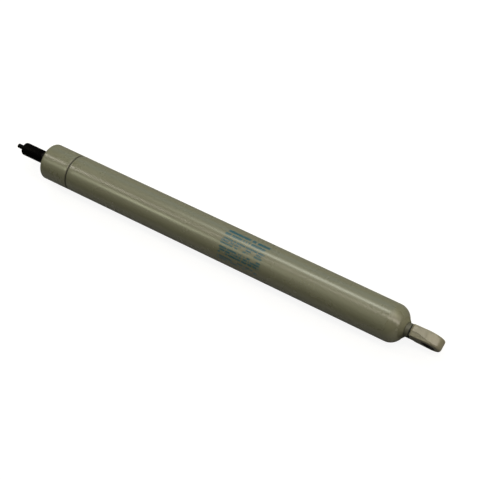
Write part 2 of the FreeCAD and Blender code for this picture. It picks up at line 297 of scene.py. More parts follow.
class Effects:
    """Shader node groups that several finishes share. Each is built once."""

    def __init__(self) -> None:
        """Builds all the groups."""
        self.grain = self._grain()
        self.scuffs = self._scuffs()
        self.turning = self._turning()
        self.print = self._print()
        self.groove = self._groove()

    @staticmethod
    def _groove() -> bpy.types.NodeTree:
        """Builds the mask of a groove round the strut's axis, whose colour the paints darken: grime in the
        tube's seam, painted shade in the crevices at the weld and the neck.

        Returns:
            The group.
        """
        g, given = new_group("Groove dirt", Tree.SHADER, {
            "Place": 0.3, "Half Width": 0.0005, "Radius": 0.014,
            "From Depth": 0.00004, "To Depth": 0.0004})
        lumps_per_m, lump_depth = 900.0, 0.12 * MM
        x, y, z = g.split(g.where())
        depth = given["Radius"] - g.hypot(y, z) + g.noise(g.where(), lumps_per_m) * lump_depth
        inside = abs(x - given["Place"]) < given["Half Width"]
        return g.close(Mask=inside * g.ramp(depth, given["From Depth"], given["To Depth"]))

    @staticmethod
    def _grain() -> bpy.types.NodeTree:
        """Builds the fine lumps of a sprayed or moulded skin, and a slow tone over the piece.

        Returns:
            The group.
        """
        g, given = new_group("Fine grain", Tree.SHADER, {"Grain Size": 0.0012, "Tone Size": 0.03})
        where = g.where()
        return g.close(Height=g.noise(where, 1.0 / given["Grain Size"], detail=2.0, roughness=0.45),
                       Tone=g.noise(where, 1.0 / given["Tone Size"], detail=4.0, roughness=0.6))

    @staticmethod
    def _scuffs() -> bpy.types.NodeTree:
        """Builds faint handling marks: hair scratches along the piece and rubbed patches.

        Returns:
            The group.
        """
        g, given = new_group("Handling scuffs", Tree.SHADER, {"Scratch Length": 0.02, "Patch Size": 0.012})
        slant, thinness = (0.0, 0.35, 0.5), (1.0, 30.0, 30.0)
        scratch_edge, patch_edge = (0.69, 0.74), (0.56, 0.72)
        where = g.where()
        stretched = g.add("ShaderNodeMapping", {"Vector": where, "Rotation": slant, "Scale": thinness})
        fibres = g.noise(stretched, 1.0 / given["Scratch Length"], detail=1.0, roughness=0.4)
        rubbed = g.noise(where, 1.0 / given["Patch Size"], detail=5.0, roughness=0.62)
        return g.close(Scratches=g.ramp(fibres, *scratch_edge), Patches=g.ramp(rubbed, *patch_edge))

    @staticmethod
    def _turning() -> bpy.types.NodeTree:
        """Builds the fine rings that a lathe or a grinding wheel leaves about the strut's axis.

        Returns:
            The group.
        """
        g, given = new_group("Turning marks", Tree.SHADER, {"Pitch": 0.0002})
        streaks_per_ring = 0.11
        x, y, z = g.split(g.where())
        rings = (x + g.hypot(y, z)) / given["Pitch"]
        return g.close(Height=g.noise_along(rings), Streaks=g.noise_along(rings * streaks_per_ring))

    @staticmethod
    def _print() -> bpy.types.NodeTree:
        """Builds rows of plain printed bars on a round body, with no lettering.

        The rows run along the axis. Row, cell and word numbers seed the bars' ends, so the rows
        differ as a printed table's do.

        Returns:
            The group.
        """
        g, given = new_group("Printed bars", Tree.SHADER, {
            "Start": 0.134, "End": 0.17, "Body Radius": 0.014, "First Angle": -0.7, "Last Angle": 1.0,
            "Row Pitch": 0.002, "Row Share": 0.5, "Cell": 0.001, "Fill": 0.6, "Seed": 1.0})
        cells_per_word, word_shift, word_rows, inked_share = 5.0, 0.37, 40.0, 0.86
        x, y, z = g.split(g.where())
        angle = g.maths("ARCTAN2", y, z)
        rows = (angle - given["First Angle"]) * given["Body Radius"] / given["Row Pitch"]
        row = g.maths("FLOOR", rows)
        cell = g.maths("FLOOR", (given["End"] - x) / given["Cell"])
        word = g.maths("FLOOR", cell / cells_per_word + row * word_shift)

        def chance(first: Value, second: Value) -> Value:
            """Gives a random value for a pair of whole numbers."""
            return g.add("ShaderNodeTexWhiteNoise", {"Vector": g.join(first, second, given["Seed"])},
                         noise_dimensions="3D")

        bars = ((g.maths("FRACT", rows) < given["Row Share"]) * (chance(cell, row) < inked_share)
                * (chance(word, row + word_rows) < given["Fill"]))
        inside = (x > given["Start"]) * (x < given["End"])
        around = (angle > given["First Angle"]) * (angle < given["Last Angle"])
        return g.close(Mask=bars * inside * around)


@dataclass(frozen=True)
class Groove:
    """A turned groove or a throat, darkened in colour: by grime in the tube's seam, and as painted shade in
    the crevices at the weld and the neck.
    """

    place: float
    half_width: float
    radius: float
    from_depth: float = 0.04 * MM
    to_depth: float = 0.4 * MM
    dirt: Colour = (0.09, 0.09, 0.075)


@dataclass(frozen=True)
class PrintedBlock:
    """Place of a block of printed rows on the tube, and what its rows look like."""

    start: float
    end: float
    first_angle: float
    last_angle: float
    row_pitch: float
    row_share: float
    cell: float
    fill: float
    seed: float


@dataclass(frozen=True)
class DieLine:
    """Line across a forging's flank, past which the flank lies deeper and is left rough."""

    from_x: float = 7.0 * MM
    to_x: float = -7.0 * MM
    from_y: float = 0.6 * MM
    to_y: float = 3.0 * MM
    step: float = 0.16 * MM
    step_width: float = 0.22 * MM
    draft: float = 0.07

    def place(self, x: float) -> float:
        """Works out the line's y at an x."""
        share = min(max((self.from_x - x) / (self.from_x - self.to_x), 0.0), 1.0)
        return self.from_y + (self.to_y - self.from_y) * math.sin(share * math.pi / 2)

    def depth(self, past: float) -> float:
        """Works out how deep the flank lies at a distance past the line."""
        return self.step * min(max(past / self.step_width, 0.0), 1.0) + self.draft * max(past, 0.0)

    def mask(self, g: Graph) -> Value:
        """Marks the rough flank past the line, which the paint also darkens as painted shade.

        Args:
            g: Graph of the material.

        Returns:
            The mask.
        """
        x, y, _ = g.split(g.where())
        bend = g.maths("SINE", g.slope(x, self.from_x, self.to_x) * (math.pi / 2))
        return g.ramp(y - (bend * (self.to_y - self.from_y) + self.from_y), 0.0, self.step_width)


@dataclass(frozen=True)
class Finish:
    """Finish of a piece. Each kind works out its own inputs of the shader."""

    name: str
    colour: Colour
    roughness: float

    def material(self, effects: Effects) -> bpy.types.Material:
        """Builds the finish as a material.

        Args:
            effects: Shared node groups.

        Returns:
            The material.
        """
        made = bpy.data.materials.new(self.name)
        g = cleared(made)
        shader = g.add("ShaderNodeBsdfPrincipled", self.surface(g, effects))
        g.node("ShaderNodeOutputMaterial", {"Surface": shader})
        return made

    def surface(self, g: Graph, effects: Effects) -> dict[str, object]:
        """Works out what the shader is fed with.

        Args:
            g: Graph of the material.
            effects: Shared node groups.

        Returns:
            The shader's inputs.
        """
        raise NotImplementedError

    def uneven(self, g: Graph, guide: Value, spread: float, margin: float = 0.3) -> Value:
        """Varies the roughness by a share down and up, as a guide goes from margin to 1 - margin."""
        low, high = self.roughness * (1 - spread), self.roughness * (1 + spread)
        return g.ramp(guide, margin, 1 - margin, low, high)


@dataclass(frozen=True)
class Paint(Finish):
    """Satin stove paint, lightly rubbed, with what else its piece shows: a print in a darker
    blue, a seam darkened by grime, painted shade in crevices and in a bore, and a forging's rough flank,
    darker past its die line as painted shade."""

    colour: Colour = (0.475, 0.478, 0.398)
    roughness: float = 0.27
    roughness_spread: float = 0.07
    specular: float = 0.9
    tone_step: float = 0.018
    tone_size: float = 35 * MM
    grain_size: float = 1.1 * MM
    grain_depth: float = 0.012 * MM
    grain_strength: float = 0.5
    patch_size: float = 10 * MM
    patch_share: float = 0.02
    patch_brighter: float = 1.25
    scratch_length: float = 30 * MM
    scratch_share: float = 0.04
    scratch_brighter: float = 1.35
    ink_roughness: float = 0.06
    flank_roughness: float = 0.22
    dirt_roughness: float = 0.3
    ink: Colour = (0.05, 0.31, 0.36)
    ink_cover: float = 0.95
    blocks: tuple[PrintedBlock, ...] = ()
    body_radius: float = 0.014
    grooves: tuple[Groove, ...] = ()
    die_line: Optional[DieLine] = None
    bore_r: float = 0.0
    bore_wear: Colour = (0.12, 0.115, 0.1)

    def surface(self, g: Graph, effects: Effects) -> dict[str, object]:
        """Works out the paint.

        Args:
            g: Graph of the material.
            effects: Shared node groups.

        Returns:
            The shader's inputs.
        """
        grain = g.group(effects.grain, grain_size=self.grain_size, tone_size=self.tone_size)
        scuffs = g.group(effects.scuffs, scratch_length=self.scratch_length, patch_size=self.patch_size)
        patches, scratches = scuffs["Patches"] * self.patch_share, scuffs["Scratches"] * self.scratch_share
        colour = g.blend(grain["Tone"], linear(self.colour, 1 - self.tone_step),
                         linear(self.colour, 1 + self.tone_step))
        colour = g.blend(patches, colour, linear(self.colour, self.patch_brighter))
        colour = g.blend(scratches, colour, linear(self.colour, self.scratch_brighter))
        rough = self.uneven(g, grain["Tone"], self.roughness_spread) + patches
        if self.blocks:
            ink = self.inked(g, effects)
            colour = g.blend(ink, colour, linear(self.ink))
            rough = rough + ink * self.ink_roughness
        if self.die_line:
            flank = self.die_line.mask(g)
            # Painted shade: past the die line the flank's colour is darkened by a flat share, and pits
            # mottle it.
            pits_per_m, pit_edge, pit_stain, flank_shade, painted_shade = 900.0, (0.40, 0.62), 0.42, 0.12, 0.7
            pitted = g.ramp(g.noise(g.where(), pits_per_m), *pit_edge)
            colour = g.blend(flank * (pitted * pit_stain + flank_shade), colour, linear(self.colour, painted_shade))
            rough = rough + flank * self.flank_roughness
        # Painted shade inside the eye's bore.
        if self.bore_r:
            colour = g.blend(self.in_bore(g), colour, linear(self.bore_wear))
        # Grooves darken the colour: grime in the tube's seam, painted shade in the crevices at the weld and
        # the neck.
        for groove in self.grooves:
            values = asdict(groove)
            dirt = linear(values.pop("dirt"))
            dirt_and_shade_mask = g.group(effects.groove, **values)["Mask"]
            colour = g.blend(dirt_and_shade_mask, colour, dirt)
            rough = rough + dirt_and_shade_mask * self.dirt_roughness
        return {"Base Color": colour, "Roughness": rough, "Specular IOR Level": self.specular,
                "Normal": g.bump(grain["Height"], self.grain_strength, self.grain_depth)}

    def inked(self, g: Graph, effects: Effects) -> Value:
        """Marks the print, worn in fine specks.

        Args:
            g: Graph of the material.
            effects: Shared node groups.

        Returns:
            The mask.
        """
        masks = [g.group(effects.print, body_radius=self.body_radius, **asdict(block))["Mask"]
                 for block in self.blocks]
        mask = masks[0]
        for other in masks[1:]:
            mask = g.maths("MAXIMUM", mask, other)
        specks_per_m, speck_edge, least_cover = 1400.0, (0.32, 0.5), 0.62
        worn = g.ramp(g.noise(g.where(), specks_per_m, detail=2.0), *speck_edge, least_cover)
        return mask * (worn * self.ink_cover)

    def in_bore(self, g: Graph) -> Value:
        """Marks the eye's bore, whose unlit inside is darkened as painted shade, with a ragged edge.

        Args:
            g: Graph of the material.

        Returns:
            The mask.
        """
        x, _, z = g.split(g.where())
        wanders_per_m, edge_wander, whole, full_shade = 800.0, 0.5 * MM, 0.45 * MM, 0.15 * MM
        ragged = g.noise(g.where(), wanders_per_m) * edge_wander + g.hypot(x, z)
        return g.ramp(ragged, self.bore_r + whole, self.bore_r + full_shade)


@dataclass(frozen=True)
class TurnedMetal(Finish):
    """Bare metal with turning marks."""

    roughness: float = 0.32
    roughness_spread: float = 0.2
    metallic: float = 1.0
    specular: float = 0.5
    darkest: float = 0.86
    lightest: float = 1.0
    streak_share: float = 0.5
    grain_size: float = 0.8 * MM
    tone_size: float = 10 * MM
    pitch: float = 0.3 * MM
    mark_strength: float = 0.4
    mark_depth: float = 0.01 * MM

    def surface(self, g: Graph, effects: Effects) -> dict[str, object]:
        """Works out the metal.

        Args:
            g: Graph of the material.
            effects: Shared node groups.

        Returns:
            The shader's inputs.
        """
        turning = g.group(effects.turning, pitch=self.pitch)
        grain = g.group(effects.grain, grain_size=self.grain_size, tone_size=self.tone_size)
        tone = turning["Streaks"] * self.streak_share + grain["Tone"] * (1 - self.streak_share)
        dark, light = linear(self.colour, self.darkest), linear(self.colour, self.lightest)
        return {"Base Color": g.blend(tone, dark, light),
                "Roughness": self.uneven(g, turning["Streaks"], self.roughness_spread, margin=0.2),
                "Metallic": self.metallic, "Specular IOR Level": self.specular,
                "Normal": g.bump(turning["Height"], self.mark_strength, self.mark_depth)}


@dataclass(frozen=True)
class DarkSteel(TurnedMetal):
    """Black nitrided steel, ground smooth."""

    colour: Colour = (0.018, 0.017, 0.017)
    roughness: float = 0.36
    roughness_spread: float = 0.15
    metallic: float = 0.0
    specular: float = 0.07
    darkest: float = 1.0
    lightest: float = 1.5
    streak_share: float = 0.0
    grain_size: float = 0.6 * MM
    tone_size: float = 12 * MM
    pitch: float = 0.25 * MM
    mark_strength: float = 0.25
    mark_depth: float = 0.004 * MM


@dataclass(frozen=True)
class Moulded(Finish):
    """Rubber or plastic from a mould, with a fine matt skin."""

    roughness: float = 0.6
    roughness_spread: float = 0.1
    lightest: float = 1.2
    tone_size: float = 6 * MM
    grain_size: float = 0.4 * MM
    grain_strength: float = 0.4
    grain_depth: float = 0.01 * MM

    def surface(self, g: Graph, effects: Effects) -> dict[str, object]:
        """Works out the moulded skin.

        Args:
            g: Graph of the material.
            effects: Shared node groups.

        Returns:
            The shader's inputs.
        """
        grain = g.group(effects.grain, grain_size=self.grain_size, tone_size=self.tone_size)
        light = linear(self.colour, self.lightest)
        return {"Base Color": g.blend(grain["Tone"], linear(self.colour), light),
                "Roughness": self.uneven(g, grain["Tone"], self.roughness_spread),
                "Normal": g.bump(grain["Height"], self.grain_strength, self.grain_depth)}


@dataclass
class Outline:
    """Outline of a turned piece, as (place along the axis, radius) points."""

    points: list[tuple[float, float]] = field(default_factory=list)

    def to(self, *points: tuple[float, float]) -> "Outline":
        """Adds points and gives the outline."""
        self.points += points
        return self

    def line(self, x: float, radius: float, steps: int) -> "Outline":
        """Adds a straight run in several steps.

        Args:
            x: Place of its end.
            radius: Radius at its end.
            steps: How many steps it takes.

        Returns:
            The outline.
        """
        from_x, from_r = self.points[-1]
        for step in range(1, steps + 1):
            share = step / steps
            self.points.append((from_x + (x - from_x) * share, from_r + (radius - from_r) * share))
        return self

    def arc(self, centre_x: float, centre_r: float, radius: float, start: float, end: float,
            steps: int) -> "Outline":
        """Adds an arc.

        Args:
            centre_x: Place of its centre.
            centre_r: Radius at which its centre lies.
            radius: Its own radius.
            start: Angle of its start in degrees, from +X towards the outside.
            end: Angle of its end.
            steps: How many steps it takes.

        Returns:
            The outline.
        """
        for step in range(steps + 1):
            turn = math.radians(start + (end - start) * step / steps)
            self.points.append((centre_x + radius * math.cos(turn), centre_r + radius * math.sin(turn)))
        return self


def smooth(mesh: bpy.types.Mesh, sharp_angle: float) -> None:
    """Shades a mesh smooth, apart from edges that turn more than this many degrees."""
    mesh.polygons.foreach_set("use_smooth", [True] * len(mesh.polygons))
    mesh.set_sharp_from_angle(angle=math.radians(sharp_angle))


def placed(name: str, data: bpy.types.ID) -> bpy.types.Object:
    """Puts a mesh, lamp or camera into the scene.

    Args:
        name: The object's name.
        data: The mesh, lamp or camera.

    Returns:
        The object.
    """
    made = bpy.data.objects.new(name, data)
    bpy.context.scene.collection.objects.link(made)
    return made


def finish_mesh(name: str, bm: bmesh.types.BMesh, sharp_angle: float = 32.0) -> bpy.types.Object:
    """Turns a bmesh into a smooth-shaded object with its faces outwards.

    Args:
        name: The object's name.
        bm: The mesh, which is freed.
        sharp_angle: Edges that turn more than this many degrees stay sharp.

    Returns:
        The object, at the origin.
    """
    bmesh.ops.remove_doubles(bm, verts=bm.verts, dist=MERGED)
    bmesh.ops.recalc_face_normals(bm, faces=bm.faces)
    mesh = bpy.data.meshes.new(name)
    bm.to_mesh(mesh)
    bm.free()
    smooth(mesh, sharp_angle)
    return placed(name, mesh)


def turned(name: str, outline: Outline, segments: int = 128, closed: bool = True) -> bpy.types.Object:
    """Turns an outline about the strut's axis.

    Args:
        name: The object's name.
        outline: The outline.
        segments: How many flats make a full turn.
        closed: Whether the last point joins the first. An open outline starts and ends on the axis.

    Returns:
        The turned object.
    """
    bm = bmesh.new()
    turns = [FULL_TURN * step / segments for step in range(segments)]
    rings: list[list[bmesh.types.BMVert]] = []
    for x, radius in outline.points:
        rings.append([bm.verts.new((x, radius * math.sin(turn), radius * math.cos(turn)))
                      for turn in (turns[:1] if radius < ON_AXIS else turns)])
    pairs = list(zip(rings, rings[1:]))
    if closed:
        pairs.append((rings[-1], rings[0]))
    for first, second in pairs:
        for step in range(segments):
            after = (step + 1) % segments
            corners = []
            for ring, index in ((first, step), (first, after), (second, after), (second, step)):
                vert = ring[index % len(ring)]
                if vert not in corners:
                    corners.append(vert)
            if len(corners) > 2:
                bm.faces.new(corners)
    return finish_mesh(name, bm)


def applied(source: bpy.types.Object) -> bpy.types.Object:
    """Freezes an object's modifiers into a plain mesh and takes them off.

    Args:
        source: The object.

    Returns:
        The same object.
    """
    old = source.data
    mesh = bpy.data.meshes.new_from_object(source.evaluated_get(bpy.context.evaluated_depsgraph_get()))
    source.modifiers.clear()
    source.data = mesh
    bpy.data.meshes.remove(old)
    mesh.name = source.name
    return source


def mark(source: bpy.types.Object, name: str, rule: Callable[[float, float], float]) -> None:
    """Gives each point of a turned mesh a value for its geometry tree.

    Args:
        source: The turned piece.
        name: The attribute's name.
        rule: Works out the value from the point's place along the axis and its radius.
    """
    values = source.data.attributes.new(name, "FLOAT", "POINT").data
    for index, vert in enumerate(source.data.vertices):
        values[index].value = rule(vert.co.x, math.hypot(vert.co.y, vert.co.z))


def shaped(source: bpy.types.Object, tree: bpy.types.NodeTree,
           values: dict[str, object]) -> bpy.types.Object:
    """Runs a geometry node tree over an object and freezes the result.

    Args:
        source: The object.
        tree: The tree.
        values: Value for each named input, set by the socket's identifier.

    Returns:
        The object with its plain mesh.
    """
    modifier = source.modifiers.new(tree.name, "NODES")
    modifier.node_group = tree
    for item in tree.interface.items_tree:
        if item.in_out == "INPUT" and item.name in values:
            modifier[item.identifier] = values[item.name]
    return applied(source)


def thread_tree() -> bpy.types.NodeTree:
    """Geometry tree that cuts a helical thread into a turned mesh, where thread_share says so.

    Returns:
        The tree, with inputs for the start, pitch, depth and crest share.
    """
    g, given = new_group("Cut thread", Tree.GEOMETRY, {
        "Start": 0.0, "Pitch": 0.001, "Depth": 0.0006, "Crest Share": 0.14})
    root_share, turns_before, least_r = 0.7, 10.0, 1e-6
    x, y, z = g.split(g.add("GeometryNodeInputPosition"))
    turn = g.maths("ARCTAN2", y, z) / FULL_TURN + turns_before
    ridge = abs(g.maths("FRACT", (x - given["Start"]) / given["Pitch"] + turn) * 2.0 - 1.0)
    flank = g.slope(ridge, given["Crest Share"] * root_share, 1.0 - given["Crest Share"])
    share = g.add("GeometryNodeInputNamedAttribute", {"Name": "thread_share"}, "Attribute",
                  data_type="FLOAT")
    sunk = (1.0 - flank) * given["Depth"] * share
    scale = 1.0 - sunk / g.maths("MAXIMUM", g.hypot(y, z), least_r)
    return g.close_shape(given, Position=g.join(x, y * scale, z * scale))


def weld_tree() -> bpy.types.NodeTree:
    """Geometry tree that raises the overlapping ripples of a weld bead on a turned ring.

    The ring's points carry the attribute bead_share: 0 where the bead meets its neighbours and
    1 along its middle.

    Returns:
        The tree, with inputs for the ripples' count, height and bow, and the lumps' height.
    """
    g, given = new_group("Weld ripples", Tree.GEOMETRY, {
        "Count": 40, "Height": 0.0001, "Bow": 0.6, "Lumps": 0.0001, "Seed": 7.0})
    lumps_per_m, ripples_before = 420.0, 100.0
    where = g.add("GeometryNodeInputPosition")
    _, y, z = g.split(where)
    middle = g.add("GeometryNodeInputNamedAttribute", {"Name": "bead_share"}, "Attribute",
                   data_type="FLOAT")
    ripples = g.maths("ARCTAN2", y, z) / FULL_TURN * given["Count"] + ripples_before
    wave = abs(g.maths("SINE", (ripples + middle * given["Bow"]) * math.pi))
    lump = g.add("ShaderNodeTexNoise", {"Vector": where, "W": given["Seed"], "Scale": lumps_per_m},
                 noise_dimensions="4D")
    lift = (wave * given["Height"] + (lump - 0.5) * given["Lumps"]) * middle
    away = g.add("ShaderNodeVectorMath", {0: g.add("GeometryNodeInputNormal"), "Scale": lift},
                 operation="SCALE")
    return g.close_shape(given, Offset=away)


@dataclass(frozen=True)
class Span:
    """Where a turned node of the frame starts and ends along the strut, and its radius."""

    start: float
    end: float
    r: float

    @classmethod
    def of(cls, node: str) -> "Span":
        """Reads the node's box."""
        low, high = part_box(node)
        return cls(low.x, high.x, high.z)


@dataclass(frozen=True)
class Sizes:
    """Spans of the nodes that the visible pieces are built to, and the neck's radius."""

    tube: Span = Span.of("pressure_tube")
    cap: Span = Span.of("gland_head")
    rod: Span = Span.of("piston_rod")
    pin: Span = Span.of("release_pin")
    eye: Span = Span.of("eyelet")
    bush: Span = Span.of("pin_guide_bush")
    wiper: Span = Span.of("rod_wiper")
    weld: Span = Span.of("eyelet_weld")
    shoulder: float = Span.of("piston_washer").end
    neck_r: float = 5.2 * MM


def dress(made: bpy.types.Object, material: bpy.types.Material, body: str, node: str) -> None:
    """Gives a new piece its material, body and slot, and hides the node that it stands for.

    Args:
        made: The piece.
        material: Its material.
        body: Body that it rides on.
        node: Node that it replaces.
    """
    made.data.materials.clear()
    made.data.materials.append(material)
    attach(made, body)
    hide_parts(node)
    LOG.info("%s rides on %s, %d faces", made.name, body, len(made.data.polygons))


@dataclass
class Eyelet:
    """Forged flat eye with its neck, and a step where its die left the flank on the +Y side."""

    sizes: Sizes
    thickness: float = 8.8 * MM
    bore_r: float = 5.05 * MM
    bore_round: float = 0.4 * MM
    edge_round: float = 0.6 * MM
    far_edge_round: float = 1.5 * MM
    shank_end: float = 13.8 * MM
    shank_half: float = 7.9 * MM
    corner_round: float = 2.5 * MM
    neck_inset: float = 5.0 * MM
    neck_taper: float = 2.0 * MM
    groove_width: float = 0.8 * MM
    groove_depth: float = 0.5 * MM
    die_line: DieLine = DieLine()
    ring_steps: int = 32
    side_steps: int = 12
    corner_steps: int = 8
    end_steps: int = 6

    def plan(self) -> list[tuple[Vector, Vector]]:
        """Works out the eye's outline in plan.

        Returns:
            Its points, each with its outward direction.
        """
        ring = self.sizes.eye.r
        corner = Vector((self.shank_end, self.shank_half))
        tangent = math.atan2(corner.y, corner.x) + math.acos(ring / corner.length)
        half: list[tuple[Vector, Vector]] = []
        for step in range(self.ring_steps + 1):
            turn = math.pi - (math.pi - tangent) * step / self.ring_steps
            out = Vector((math.cos(turn), math.sin(turn)))
            half.append((out * ring, out))
        slope = Vector((math.cos(tangent), math.sin(tangent)))
        along = Vector((math.sin(tangent), -math.cos(tangent)))
        finish = corner - along * (self.corner_round * math.tan(tangent / 2))
        centre = finish - slope * self.corner_round
        start = half[-1][0]
        for step in range(1, self.side_steps + 1):
            half.append((start.lerp(finish, step / self.side_steps), slope))
        for step in range(1, self.corner_steps + 1):
            turn = tangent * (1 - step / self.corner_steps)
            out = Vector((math.cos(turn), math.sin(turn)))
            half.append((centre + out * self.corner_round, out))
        last = half[-1][0]
        for step in range(1, self.end_steps + 1):
            half.append((Vector((last.x, last.y * (1 - step / self.end_steps))), Vector((1.0, 0.0))))
        other = [(Vector((p.x, -p.y)), Vector((n.x, -n.y))) for p, n in half[-2:0:-1]]
        return half + other

    def section(self, point: Vector, out: Vector) -> list[tuple[float, float, float]]:
        """Works out the closed line across the eye at one point of its outline.

        Args:
            point: The outline's point, in plan.
            out: Its outward direction.

        Returns:
            The line's places, from the +Y edge over the face, through the bore and back over
            the other face and the flank.
        """
        half, line = self.thickness / 2, self.die_line
        edge_steps, face_steps, mouth_steps, steps_left = 6, 6, 4, 1.5
        far = min(max(-point.x / self.sizes.eye.r, 0.0), 1.0)
        edge = self.edge_round + (self.far_edge_round - self.edge_round) * far
        around = point.normalized()
        ridge = min(line.place(point.x), half - edge - steps_left * line.step_width)
        spots: list[tuple[Vector, float]] = []
        for side, deep in ((1, line.depth(half - edge - ridge)), (-1, 0.0)):
            part = []
            for step in range(edge_steps + 1):
                turn = math.pi / 2 * step / edge_steps
                part.append((point - out * (deep + edge * (1 - math.cos(turn))),
                             side * (half - edge + edge * math.sin(turn))))
            rim, mouth = part[-1][0], around * (self.bore_r + self.bore_round)
            part += [(rim.lerp(mouth, step / face_steps), side * half) for step in range(1, face_steps)]
            for step in range(mouth_steps + 1):
                turn = math.pi / 2 * step / mouth_steps
                part.append((around * (self.bore_r + self.bore_round * (1 - math.sin(turn))),
                             side * (half - self.bore_round * (1 - math.cos(turn)))))
            spots += part if side > 0 else part[::-1]
        low, high = edge - half, half - edge
        spots += [(point, low + (ridge - low) * share) for share in (0.33, 0.66, 1.0)]
        for share in (0.0, 0.35, 0.7):
            y = ridge + line.step_width + (high - ridge - line.step_width) * share
            spots.append((point - out * line.depth(y - ridge), y))
        return [(spot.x, y, spot.y) for spot, y in spots]

    def neck(self) -> bpy.types.Object:
        """Builds the neck, with the turned groove next to the eye.

        Returns:
            The neck.
        """
        r, tube_start = self.sizes.neck_r, self.sizes.tube.start
        start = self.shank_end - self.neck_inset
        groove_end, groove_r = self.shank_end + self.groove_width, r - self.groove_depth
        shape = Outline().to((start, 0.0), (start, self.thickness / 2 - self.edge_round))
        shape.line(start + self.neck_taper, r, steps=4)
        shape.to((self.shank_end, r), (self.shank_end, groove_r), (groove_end, groove_r), (groove_end, r))
        shape.line(tube_start, r, steps=4).to((tube_start, 0.0))
        return turned("Neck", shape, segments=96, closed=False)

    def build(self) -> bpy.types.Object:
        """Builds the eye as lines across it round its plan, joined with the neck.

        Returns:
            The eyelet.
        """
        bm = bmesh.new()
        grid = [[bm.verts.new(spot) for spot in self.section(point, out)] for point, out in self.plan()]
        for first, second in zip(grid, grid[1:] + grid[:1]):
            for step in range(len(first)):
                after = (step + 1) % len(first)
                bm.faces.new((first[step], second[step], second[after], first[after]))
        eye = finish_mesh("Eye", bm, sharp_angle=40.0)
        neck = self.neck()
        union = eye.modifiers.new("union", "BOOLEAN")
        union.operation = "UNION"
        union.solver = "EXACT"
        union.object = neck
        applied(eye)
        bpy.data.objects.remove(neck)
        eye.name = eye.data.name = "Forged_eyelet"
        smooth(eye.data, sharp_angle=24.0)
        return eye

    def paint(self) -> Paint:
        """Gives the forging's paint: lighter than the tube's as painted light, with painted shade at the
        neck, in the bore and on the flank past the die line.

        Returns:
            The paint.
        """
        # Painted shade: the neck is darkened where the shank and the weld shade it, and darkest in the
        # groove next to the shank.
        shaded_r = self.sizes.neck_r + 0.8 * MM
        painted_shade = Groove(self.shank_end + 4.3 * MM, half_width=3.3 * MM, radius=shaded_r,
                         from_depth=0.2 * MM, to_depth=1.0 * MM, dirt=(0.30, 0.30, 0.24))
        dark = Groove(self.shank_end + 0.7 * MM, half_width=0.75 * MM, radius=shaded_r,
                      from_depth=0.2 * MM, to_depth=0.8 * MM)
        # The forging's paint is lighter and warmer than the tube's, though both are one paint: painted light
        # on the eye.
        return Paint("Warm grey paint on forging", colour=(0.54, 0.525, 0.44), roughness=0.3,
                     tone_step=0.1, tone_size=6 * MM, grain_size=1.6 * MM, grain_depth=0.03 * MM,
                     grooves=(painted_shade, dark), die_line=self.die_line, bore_r=self.bore_r + self.bore_round)


